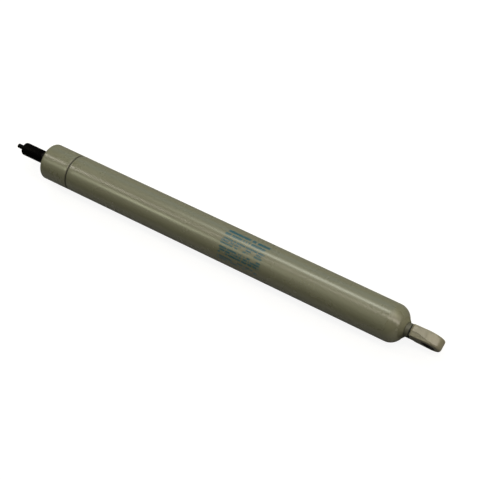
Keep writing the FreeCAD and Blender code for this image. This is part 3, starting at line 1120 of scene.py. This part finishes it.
@dataclass
class Cylinder:
    """The painted body: tube, cap, weld and eyelet, and the wiper in the cap's mouth."""

    sizes: Sizes
    wall: float = 1.5 * MM
    end_radius: float = 10.0 * MM
    end_wall: float = 2.0 * MM
    seam_width: float = 1.4 * MM
    seam_depth: float = 0.7 * MM
    seam_gap: float = 0.24 * MM
    seam_gap_depth: float = 0.5 * MM
    cap_round: float = 2.0 * MM
    spigot_bevel: float = 0.8 * MM
    mouth_round: float = 0.3 * MM
    rod_gap: float = 0.3 * MM
    small_round: float = 0.15 * MM
    wiper_gap: float = 0.03 * MM
    wiper_lip: float = 0.9 * MM
    wiper_lip_length: float = 1.2 * MM
    wiper_round: float = 0.2 * MM
    segments: int = 192
    blocks: tuple[PrintedBlock, ...] = (
        PrintedBlock(0.1335, 0.1695, -0.67, -0.50, 0.0029, 0.74, 0.0016, 0.92, 3.0),
        PrintedBlock(0.1350, 0.1705, -0.43, -0.28, 0.0029, 0.70, 0.0012, 0.88, 8.0),
        PrintedBlock(0.1340, 0.1705, -0.14, 0.26, 0.0019, 0.70, 0.0009, 0.90, 5.0),
        PrintedBlock(0.1340, 0.1700, 0.36, 0.76, 0.0019, 0.70, 0.0009, 0.86, 11.0),
        PrintedBlock(0.1345, 0.1705, 0.86, 1.12, 0.0019, 0.70, 0.0009, 0.92, 14.0),
    )

    def tube(self) -> bpy.types.Object:
        """Builds the pressure tube with its rounded end and its half of the seam.

        Returns:
            The tube.
        """
        r, start, seam = self.sizes.tube.r, self.sizes.tube.start, self.sizes.tube.end
        bore, inner = r - self.wall, self.end_radius - self.wall
        inner_start = start + self.end_wall
        edge = seam - self.seam_width / 2 - self.small_round
        gap_edge, gap_floor = seam - self.seam_gap / 2, r - self.seam_depth - self.seam_gap_depth
        shape = Outline().to((start, 0.0)).line(start, r - self.end_radius, steps=4)
        shape.arc(start + self.end_radius, r - self.end_radius, self.end_radius, 180, 90, steps=28)
        shape.line(edge, r, steps=60).arc(edge, r - self.small_round, self.small_round, 90, 45, steps=3)
        shape.to((gap_edge, r - self.seam_depth + self.seam_gap / 2), (gap_edge, gap_floor),
                 (seam, gap_floor), (seam, bore))
        shape.line(inner_start + inner, bore, steps=20)
        shape.arc(inner_start + inner, bore - inner, inner, 90, 180, steps=16).to((inner_start, 0.0))
        return turned("Tube_body", shape, self.segments, closed=False)

    def cap(self) -> bpy.types.Object:
        """Builds the end cap with its spigot, bush bore and wiper pocket.

        Returns:
            The cap.
        """
        s, r, seam, end = self.sizes, self.sizes.tube.r, self.sizes.tube.end, self.sizes.cap.end
        start, spigot = s.cap.start, r - self.wall - SEATED
        hole, pocket = s.rod.r + self.rod_gap, s.wiper.r + SEATED
        seal_pocket = Span.of("rod_seal").r + SEATED
        floor, bush = Span.of("seal_backup_ring").end, Span.of("guide_bush")
        edge = seam + self.seam_width / 2 + self.small_round
        gap_edge, gap_floor = seam + self.seam_gap / 2, r - self.seam_depth - self.seam_gap_depth
        mouth = pocket + self.mouth_round
        shape = Outline().to((start, seal_pocket), (start, spigot - self.spigot_bevel),
                             (start + self.spigot_bevel, spigot), (seam, spigot), (seam, gap_floor),
                             (gap_edge, gap_floor), (gap_edge, r - self.seam_depth + self.seam_gap / 2))
        shape.arc(edge, r - self.small_round, self.small_round, 135, 90, steps=3)
        shape.line(end - self.cap_round, r, steps=8)
        shape.arc(end - self.cap_round, r - self.cap_round, self.cap_round, 90, 0, steps=14)
        shape.line(end, mouth, steps=6).arc(end - self.mouth_round, mouth, self.mouth_round, 0, -90, steps=4)
        shape.to((s.wiper.start, pocket), (s.wiper.start, hole), (bush.end, hole), (bush.end, bush.r),
                 (floor, bush.r), (floor, seal_pocket))
        return turned("End_cap", shape, self.segments)

    def wiper(self) -> bpy.types.Object:
        """Builds the wiper ring with its raised lip round the rod.

        Returns:
            The ring.
        """
        start, r, end = self.sizes.wiper.start, self.sizes.wiper.r, self.sizes.cap.end
        soft = self.wiper_round
        inner = self.sizes.rod.r + self.wiper_gap
        step, lip = end - self.wiper_lip_length, inner + self.wiper_lip
        half_lip = inner + self.wiper_lip / 2
        shape = Outline().to((start, inner), (start, r), (step - soft, r))
        shape.arc(step - soft, r - soft, soft, 90, 0, steps=4).to((step, lip + soft))
        shape.arc(step + soft, lip + soft, soft, 180, 270, steps=4).to((end - soft, half_lip))
        shape.arc(end - soft, half_lip - soft, soft, 90, 0, steps=4).to((end, inner))
        return turned("Rod_wiper_ring", shape, segments=96)

    def end_surface(self, radius: float) -> float:
        """Works out the place of the tube's rounded end at a radius from the axis."""
        out = max(radius - (self.sizes.tube.r - self.end_radius), 0.0)
        return self.sizes.tube.start + self.end_radius - math.sqrt(self.end_radius ** 2 - out ** 2)

    def weld(self, tree: bpy.types.NodeTree, material: bpy.types.Material) -> bpy.types.Object:
        """Builds the weld bead round the eyelet's neck, on the tube's rounded end.

        Args:
            tree: Geometry tree that raises its ripples.
            material: Its paint.

        Returns:
            The bead.
        """
        start, r, root = self.sizes.weld.start, self.sizes.weld.r, self.sizes.neck_r + SEATED
        under, across = 4, 14
        radii = [root + (r - root) * step / under for step in range(under + 1)]
        shape = Outline([(self.end_surface(radius), radius) for radius in radii])
        foot = Vector((self.end_surface(r), r))
        face = Vector((start, root)) - foot

        def bead_share(x: float, radius: float) -> float:
            """Works out how near a point of the bead is to its face's middle.

            Args:
                x: The point's place along the axis.
                radius: Its distance from the axis.

            Returns:
                1 at the middle of the face, 0 at its edges and off it.
            """
            nearly_on = 0.0001
            spot = Vector((x, radius)) - foot
            along = spot.dot(face) / face.length_squared
            on_face = abs(spot.cross(face)) < nearly_on * face.length
            return math.sin(math.pi * along) if on_face and 0 < along < 1 else 0.0

        made = turned("Weld_bead", shape.line(start, root, across), self.segments * 2)
        mark(made, "bead_share", bead_share)
        return shaped(made, tree, {"Count": 46, "Height": 0.07 * MM, "Bow": 0.4, "Lumps": 0.08 * MM,
                                   "Seed": 7.0, "Material": material})

    def build(self, effects: Effects, weld: bpy.types.NodeTree) -> None:
        """Builds and dresses the whole body.

        Args:
            effects: Shared node groups.
            weld: Geometry tree of the weld.
        """
        s, eyelet = self.sizes, Eyelet(self.sizes)
        seam = Groove(s.tube.end, self.seam_width, s.tube.r, from_depth=0.0, to_depth=0.3 * MM,
                      dirt=(0.25, 0.25, 0.205))
        # Painted shade: the weld's colour is darker than the tube's paint, and darker still towards the neck
        # in the crevice under the eyelet; its rougher, duller gloss is the bead's own.
        throat = Groove(s.weld.start - 0.4 * MM, half_width=2.2 * MM, radius=s.weld.r,
                        from_depth=2.4 * MM, to_depth=3.6 * MM, dirt=(0.24, 0.24, 0.2))
        plain = Paint("Warm grey paint", grooves=(seam,)).material(effects)
        weld_paint_shaded = Paint("Warm grey paint on weld", colour=(0.44, 0.44, 0.36), roughness=0.62, specular=0.35,
                      tone_step=0.06, tone_size=4 * MM, grain_depth=0.02 * MM,
                      grooves=(throat,)).material(effects)
        printed = Paint("Warm grey paint with print", blocks=self.blocks, body_radius=s.tube.r,
                        grooves=(seam,)).material(effects)
        rubber = Moulded("Black rubber", (0.045, 0.045, 0.045)).material(effects)
        dress(self.tube(), printed, "cylinder", "pressure_tube")
        dress(self.cap(), plain, "cylinder", "gland_head")
        dress(self.weld(weld, weld_paint_shaded), weld_paint_shaded, "cylinder", "eyelet_weld")
        dress(eyelet.build(), eyelet.paint().material(effects), "cylinder", "eyelet")
        dress(self.wiper(), rubber, "cylinder", "rod_wiper")


@dataclass
class Rod:
    """Hollow black rod with its threaded tip, and the pin's bush in it."""

    sizes: Sizes
    bore_r: float = 2.0 * MM
    valve_bore_r: float = 2.6 * MM
    valve_overlap: float = 1.0 * MM
    spigot_r: float = 4.0 * MM
    tip_round: float = 1.5 * MM
    thread_length: float = 20.0 * MM
    thread_pitch: float = 1.0 * MM
    thread_depth: float = 0.6 * MM
    crest_share: float = 0.14
    run_out: float = 0.5 * MM
    threaded_share: float = 0.75
    relief_width: float = 1.5 * MM
    relief_depth: float = 0.7 * MM
    relief_rise: tuple[float, float] = (-0.3 * MM, 0.35 * MM)
    mouth_bevel: float = 0.2 * MM
    pin_gap: float = 0.05 * MM
    bush_bevel: float = 0.15 * MM
    rows_per_pitch: int = 10
    segments: int = 96

    def rod(self, tree: bpy.types.NodeTree, material: bpy.types.Material) -> bpy.types.Object:
        """Builds the rod and cuts its thread.

        Args:
            tree: Geometry tree of the thread.
            material: The rod's finish.

        Returns:
            The rod.
        """
        s, start, end, r = self.sizes, self.sizes.rod.start, self.sizes.rod.end, self.sizes.rod.r
        thread, tip = end - self.thread_length, end - self.tip_round
        relief, root = thread - self.relief_width, r - self.relief_depth
        bush, valve_end = s.bush.r + SEATED, s.pin.start + self.valve_overlap
        shape = Outline().to((start, self.valve_bore_r), (start, self.spigot_r),
                             (s.shoulder, self.spigot_r), (s.shoulder, r))
        shape.line(relief - self.relief_depth, r, steps=40)
        low, high = (thread + place for place in self.relief_rise)
        shape.to((relief, root), (low, root), (high, r))
        shape.line(tip, r, int((tip - thread) / self.thread_pitch * self.rows_per_pitch))
        shape.arc(tip, r - self.tip_round, self.tip_round, 90, 0, steps=8)
        shape.to((end, bush + self.mouth_bevel), (end - self.mouth_bevel, bush), (s.bush.start, bush),
                 (s.bush.start, self.bore_r), (valve_end, self.bore_r), (valve_end, self.valve_bore_r))
        made = turned("Threaded_rod", shape, self.segments)
        outer_r = r - self.tip_round * self.threaded_share
        mark(made, "thread_share", lambda x, radius:
             min(max((x - thread) / self.run_out, 0.0), 1.0) if radius > outer_r else 0.0)
        shaped(made, tree, {"Start": thread, "Pitch": self.thread_pitch, "Depth": self.thread_depth,
                            "Crest Share": self.crest_share, "Material": material})
        smooth(made.data, sharp_angle=38.0)
        return made

    def bush(self) -> bpy.types.Object:
        """Builds the pin's guide bush in the rod's tip.

        Returns:
            The bush.
        """
        start, r, end = self.sizes.bush.start, self.sizes.bush.r, self.sizes.rod.end
        inner = self.sizes.pin.r + self.pin_gap
        shape = Outline().to((start, inner), (start, r), (end, r), (end, inner + self.bush_bevel),
                             (end - self.bush_bevel, inner))
        return turned("Pin_bush", shape, segments=64)

    def build(self, effects: Effects, thread: bpy.types.NodeTree) -> None:
        """Builds and dresses the rod and the bush.

        Args:
            effects: Shared node groups.
            thread: Geometry tree of the thread.
        """
        black = DarkSteel("Black nitrided rod").material(effects)
        bronze = TurnedMetal("Sintered bronze", (0.52, 0.4, 0.24), 0.42).material(effects)
        dress(self.rod(thread, black), black, "rod", "piston_rod")
        dress(self.bush(), bronze, "rod", "pin_guide_bush")


@dataclass
class ReleasePin:
    """Release pin in the rod's bore."""

    sizes: Sizes
    tip_round: float = 0.6 * MM
    segments: int = 64

    def build(self, effects: Effects) -> None:
        """Builds and dresses the pin.

        Args:
            effects: Shared node groups.
        """
        start, end, r = self.sizes.pin.start, self.sizes.pin.end, self.sizes.pin.r
        black = DarkSteel("Black release pin", roughness=0.34).material(effects)
        shape = Outline().to((start, 0.0), (start, r)).line(end - self.tip_round, r, steps=30)
        shape.arc(end - self.tip_round, r - self.tip_round, self.tip_round, 90, 0, steps=6).to((end, 0.0))
        made = turned("Release_pin_bar", shape, self.segments, closed=False)
        dress(made, black, "release_pin", "release_pin")


@dataclass
class InnerPieces:
    """Pieces inside the strut, which keep their own shapes."""

    rubber: tuple[str, ...] = ("gland_o_ring", "rod_seal", "end_buffer", "piston_o_ring", "tappet_o_ring",
                               "tappet_face_seal", "separator_o_ring")
    steel: tuple[str, ...] = ("lock_ring", "seal_support_washer", "seal_snap_ring", "piston_washer",
                              "piston_nut", "valve_tappet")
    aluminium: tuple[str, ...] = ("piston", "separator_piston")
    plastic: tuple[str, ...] = ("seal_backup_ring", "piston_ring", "separator_guide_ring")
    bronze: tuple[str, ...] = ("guide_bush",)

    def build(self, effects: Effects) -> None:
        """Gives the frame's nodes their materials.

        Args:
            effects: Shared node groups.
        """
        finishes = (
            (self.rubber, Moulded("Seal rubber", (0.05, 0.05, 0.052), 0.55)),
            (self.steel, TurnedMetal("Turned steel", (0.62, 0.62, 0.62))),
            (self.aluminium, TurnedMetal("Turned aluminium", (0.76, 0.76, 0.77), 0.36)),
            (self.plastic, Moulded("Slide plastic", (0.82, 0.81, 0.76), 0.42)),
            (self.bronze, TurnedMetal("Slide bronze", (0.5, 0.38, 0.23), 0.42)),
        )
        for names, finish in finishes:
            material = finish.material(effects)
            for name in names:
                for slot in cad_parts[name].material_slots:
                    slot.material = material
                LOG.info("%s dressed", name)


@dataclass(frozen=True)
class Strip:
    """Bright strip that the paint mirrors as a streak along the tube."""

    name: str
    from_x: float
    to_x: float
    normal_deg: float
    width: float
    radiance: float
    colour: Colour


class Across(Enum):
    """What a patch's limits across the strut are."""

    ANGLE = "degrees round the strut's axis, from +Z towards +Y"
    SIDE = "y of a direction, above the horizon only"


@dataclass(frozen=True)
class Patch:
    """Soft bright patch of the light tent.

    It rises between the first two of its four limits and falls between the last two, both across
    the strut and along it, where the limits are the x of a direction.
    """

    kind: Across
    across: tuple[float, float, float, float]
    along: tuple[float, float, float, float]
    strength: float
    colour: Colour


# Limits that several patches share: round the strut in degrees, and along it.
LOW_SIDE, HIGH_SIDE, NEAR_TOP = (-110, -75, -75, -45), (-75, -45, -45, -15), (-52, -22, -22, 4)
EYE_END, EYE_HALF = (-1.60, -1.50, -0.95, -0.65), (-0.95, -0.65, -0.40, 0.0)
MIDDLE, ROD_END = (-0.40, 0.0, 0.10, 0.45), (0.15, 0.45, 0.45, 0.70)


@dataclass
class Studio:
    """Floor, light and camera."""

    sizes: Sizes
    azimuth: float = 252.196
    elevation: float = 60.537
    roll: float = -44.576
    distance: float = 1225.4 * MM
    target: tuple[float, float, float] = (163.85 * MM, -6.50 * MM, 1.17 * MM)
    photo_px: float = 480.0
    focal_px: float = 1706.9
    sensor: float = 36.0
    clip: tuple[float, float] = (0.01, 100.0)
    strips: tuple[Strip, ...] = (
        Strip("Strip_middle", 0.186, 0.292, 4.4, 0.30, 7.0, (0.97, 1.0, 0.72)),
        Strip("Strip_right", 0.010, 0.142, -24.0, 0.30, 8.8, (0.97, 1.0, 0.87)),
    )
    strip_distance: float = 1.6
    strip_aim: float = 0.35
    view_tilt: float = 9.46
    patches: tuple[Patch, ...] = (
        Patch(Across.ANGLE, LOW_SIDE, EYE_END, 1.81, (1.12, 1.0, 0.86)),
        Patch(Across.ANGLE, NEAR_TOP, EYE_END, 1.32, (1.18, 1.0, 0.90)),
        Patch(Across.ANGLE, HIGH_SIDE, EYE_HALF, 1.33, (1.05, 1.0, 0.68)),
        Patch(Across.ANGLE, NEAR_TOP, EYE_HALF, 0.86, (1.17, 1.0, 1.05)),
        Patch(Across.ANGLE, HIGH_SIDE, MIDDLE, 1.40, (1.02, 1.0, 0.90)),
        Patch(Across.ANGLE, (-52, -22, -22, 6), MIDDLE, 0.94, (1.08, 1.0, 0.93)),
        Patch(Across.ANGLE, LOW_SIDE, ROD_END, 0.58, (0.67, 1.0, 1.34)),
        Patch(Across.ANGLE, (-45, -15, 30, 60), ROD_END, 0.32, (1.00, 1.0, 0.90)),
        Patch(Across.SIDE, (-0.24, -0.18, -0.12, -0.06), (0.545, 0.585, 0.66, 0.76), 8.60,
              (1.08, 1.0, 0.90)),
        Patch(Across.SIDE, (-0.20, -0.16, -0.10, -0.05), (-1.10, -1.05, 0.37, 0.42), 4.90,
              (1.06, 1.0, 0.84)),
        Patch(Across.SIDE, (-0.68, -0.62, -0.55, -0.49), (-0.85, -0.35, 0.30, 0.40), 1.45,
              (1.02, 1.0, 0.82)),
    )
    fill: float = 0.01
    horizon: float = 0.05
    floor_reach: float = 12.0
    floor_dark: tuple[float, float, float, float] = (0.22, 0.22, 0.216, 1.0)
    floor_light: tuple[float, float, float, float] = (0.25, 0.25, 0.246, 1.0)
    floor_lumps_per_m: float = 40.0
    floor_lift: float = 0.89
    floor_gloss_share: float = 0.04

    def camera_axes(self) -> tuple[Vector, Vector, Vector]:
        """Works out where the camera looks from.

        Returns:
            Its right, up and back directions.
        """
        a, e, roll = (math.radians(v) for v in (self.azimuth, self.elevation, self.roll))
        back = Vector((math.sin(a) * math.cos(e), -math.cos(a) * math.cos(e), math.sin(e)))
        level = Vector((math.cos(a), math.sin(a), 0.0))
        right = level * math.cos(roll) + back.cross(level) * math.sin(roll)
        return right, back.cross(right), back

    def camera(self) -> None:
        """Places the camera at the photograph's viewpoint."""
        right, up, back = self.camera_axes()
        data = bpy.data.cameras.new("Camera")
        data.sensor_width = self.sensor
        data.lens = self.focal_px * self.sensor / self.photo_px
        data.clip_start, data.clip_end = self.clip
        made = placed("Camera", data)
        turn = Matrix((right, up, back)).transposed().to_4x4()
        made.matrix_world = Matrix.Translation(Vector(self.target) + back * self.distance) @ turn
        bpy.context.scene.camera = made

    def floor(self) -> None:
        """Lays a pale floor that looks white to the camera and keeps the shadow."""
        reach, level = self.floor_reach, -self.sizes.tube.r
        bm = bmesh.new()
        corners = [(-reach, -reach), (reach, -reach), (reach, reach), (-reach, reach)]
        bm.faces.new([bm.verts.new((x, y, level)) for x, y in corners])
        made = finish_mesh("Floor", bm)
        material = bpy.data.materials.new("Pale floor")
        g = cleared(material)
        speckle = g.noise(g.where(), self.floor_lumps_per_m)
        matt = g.add("ShaderNodeBsdfDiffuse", {"Color": g.blend(speckle, self.floor_dark, self.floor_light)})
        path = g.node("ShaderNodeLightPath").outputs
        gloss = Value(g, path["Is Glossy Ray"]) * self.floor_gloss_share
        seen = g.maths("MAXIMUM", Value(g, path["Is Camera Ray"]), gloss)
        seen = g.maths("MAXIMUM", seen, Value(g, path["Is Transmission Ray"]))
        lift = g.add("ShaderNodeEmission", {"Strength": seen * self.floor_lift})
        g.node("ShaderNodeOutputMaterial", {"Surface": g.add("ShaderNodeAddShader", {0: matt, 1: lift})})
        made.data.materials.append(material)

    def tent(self) -> None:
        """Lights the world with a weak fill and soft patches, and shows plain white to the camera."""
        world = bpy.context.scene.world = bpy.data.worlds.new("Light tent")
        g = cleared(world)
        x, y, z = g.split(g.add("ShaderNodeTexCoord", output="Generated"))
        turn = g.maths("DEGREES", g.maths("ARCTAN2", y, z))
        above = g.slope(z, 0.0, self.horizon)
        lit: object = (self.fill, self.fill, self.fill)
        for patch in self.patches:
            by_angle = patch.kind is Across.ANGLE
            share = patch.strength if by_angle else above * patch.strength
            for guide, (low, full, fade, end) in ((turn if by_angle else y, patch.across), (x, patch.along)):
                share = g.slope(guide, low, full) * share * g.slope(guide, end, fade)
            tint = g.add("ShaderNodeVectorMath", {0: patch.colour, "Scale": share}, operation="SCALE")
            lit = g.add("ShaderNodeVectorMath", {0: lit, 1: tint}, operation="ADD")
        tent = g.add("ShaderNodeBackground", {"Color": lit})
        white = g.add("ShaderNodeBackground", {"Strength": 1.0})
        from_camera = g.add("ShaderNodeLightPath", output="Is Camera Ray")
        seen = g.add("ShaderNodeMixShader", {0: from_camera, 1: tent, 2: white})
        g.node("ShaderNodeOutputWorld", {"Surface": seen})

    def strip(self, item: Strip) -> None:
        """Hangs a strip where the tube mirrors it towards the camera.

        Args:
            item: The strip.
        """
        eye = Vector(self.target) + self.camera_axes()[2] * self.distance
        turn = math.radians(self.view_tilt + item.normal_deg)
        normal = Vector((0.0, math.sin(turn), math.cos(turn)))
        ends = []
        for x in (item.from_x, item.to_x):
            spot = Vector((x, 0.0, 0.0)) + normal * self.sizes.tube.r
            view = (eye - spot).normalized()
            ends.append(spot + (normal * (2 * normal.dot(view)) - view) * self.strip_distance)
        run, middle = ends[1] - ends[0], (ends[0] + ends[1]) / 2
        data = bpy.data.lights.new(item.name, "AREA")
        data.shape = "RECTANGLE"
        data.size, data.size_y = run.length, item.width
        data.energy = item.radiance * math.pi * data.size * data.size_y
        data.color = item.colour
        made = placed(item.name, data)
        aim = (Vector((middle.x * self.strip_aim, 0.0, 0.0)) - middle).normalized()
        side = aim.cross(run).normalized()
        axes = Matrix((side.cross(aim).normalized(), side, -aim)).transposed().to_4x4()
        made.matrix_world = Matrix.Translation(middle) @ axes
        made.visible_camera = False

    def build(self) -> None:
        """Sets the whole studio up."""
        self.camera()
        self.floor()
        self.tent()
        for item in self.strips:
            self.strip(item)
        bpy.context.scene.view_settings.view_transform = "Standard"


def main() -> None:
    """Builds the studio and the strut."""
    logging.basicConfig(level=logging.INFO, format="%(name)s: %(message)s")
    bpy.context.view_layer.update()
    sizes = Sizes()
    Studio(sizes).build()
    effects = Effects()
    Cylinder(sizes).build(effects, weld_tree())
    Rod(sizes).build(effects, thread_tree())
    ReleasePin(sizes).build(effects)
    InnerPieces().build(effects)


if __name__ == "__main__":
    main()
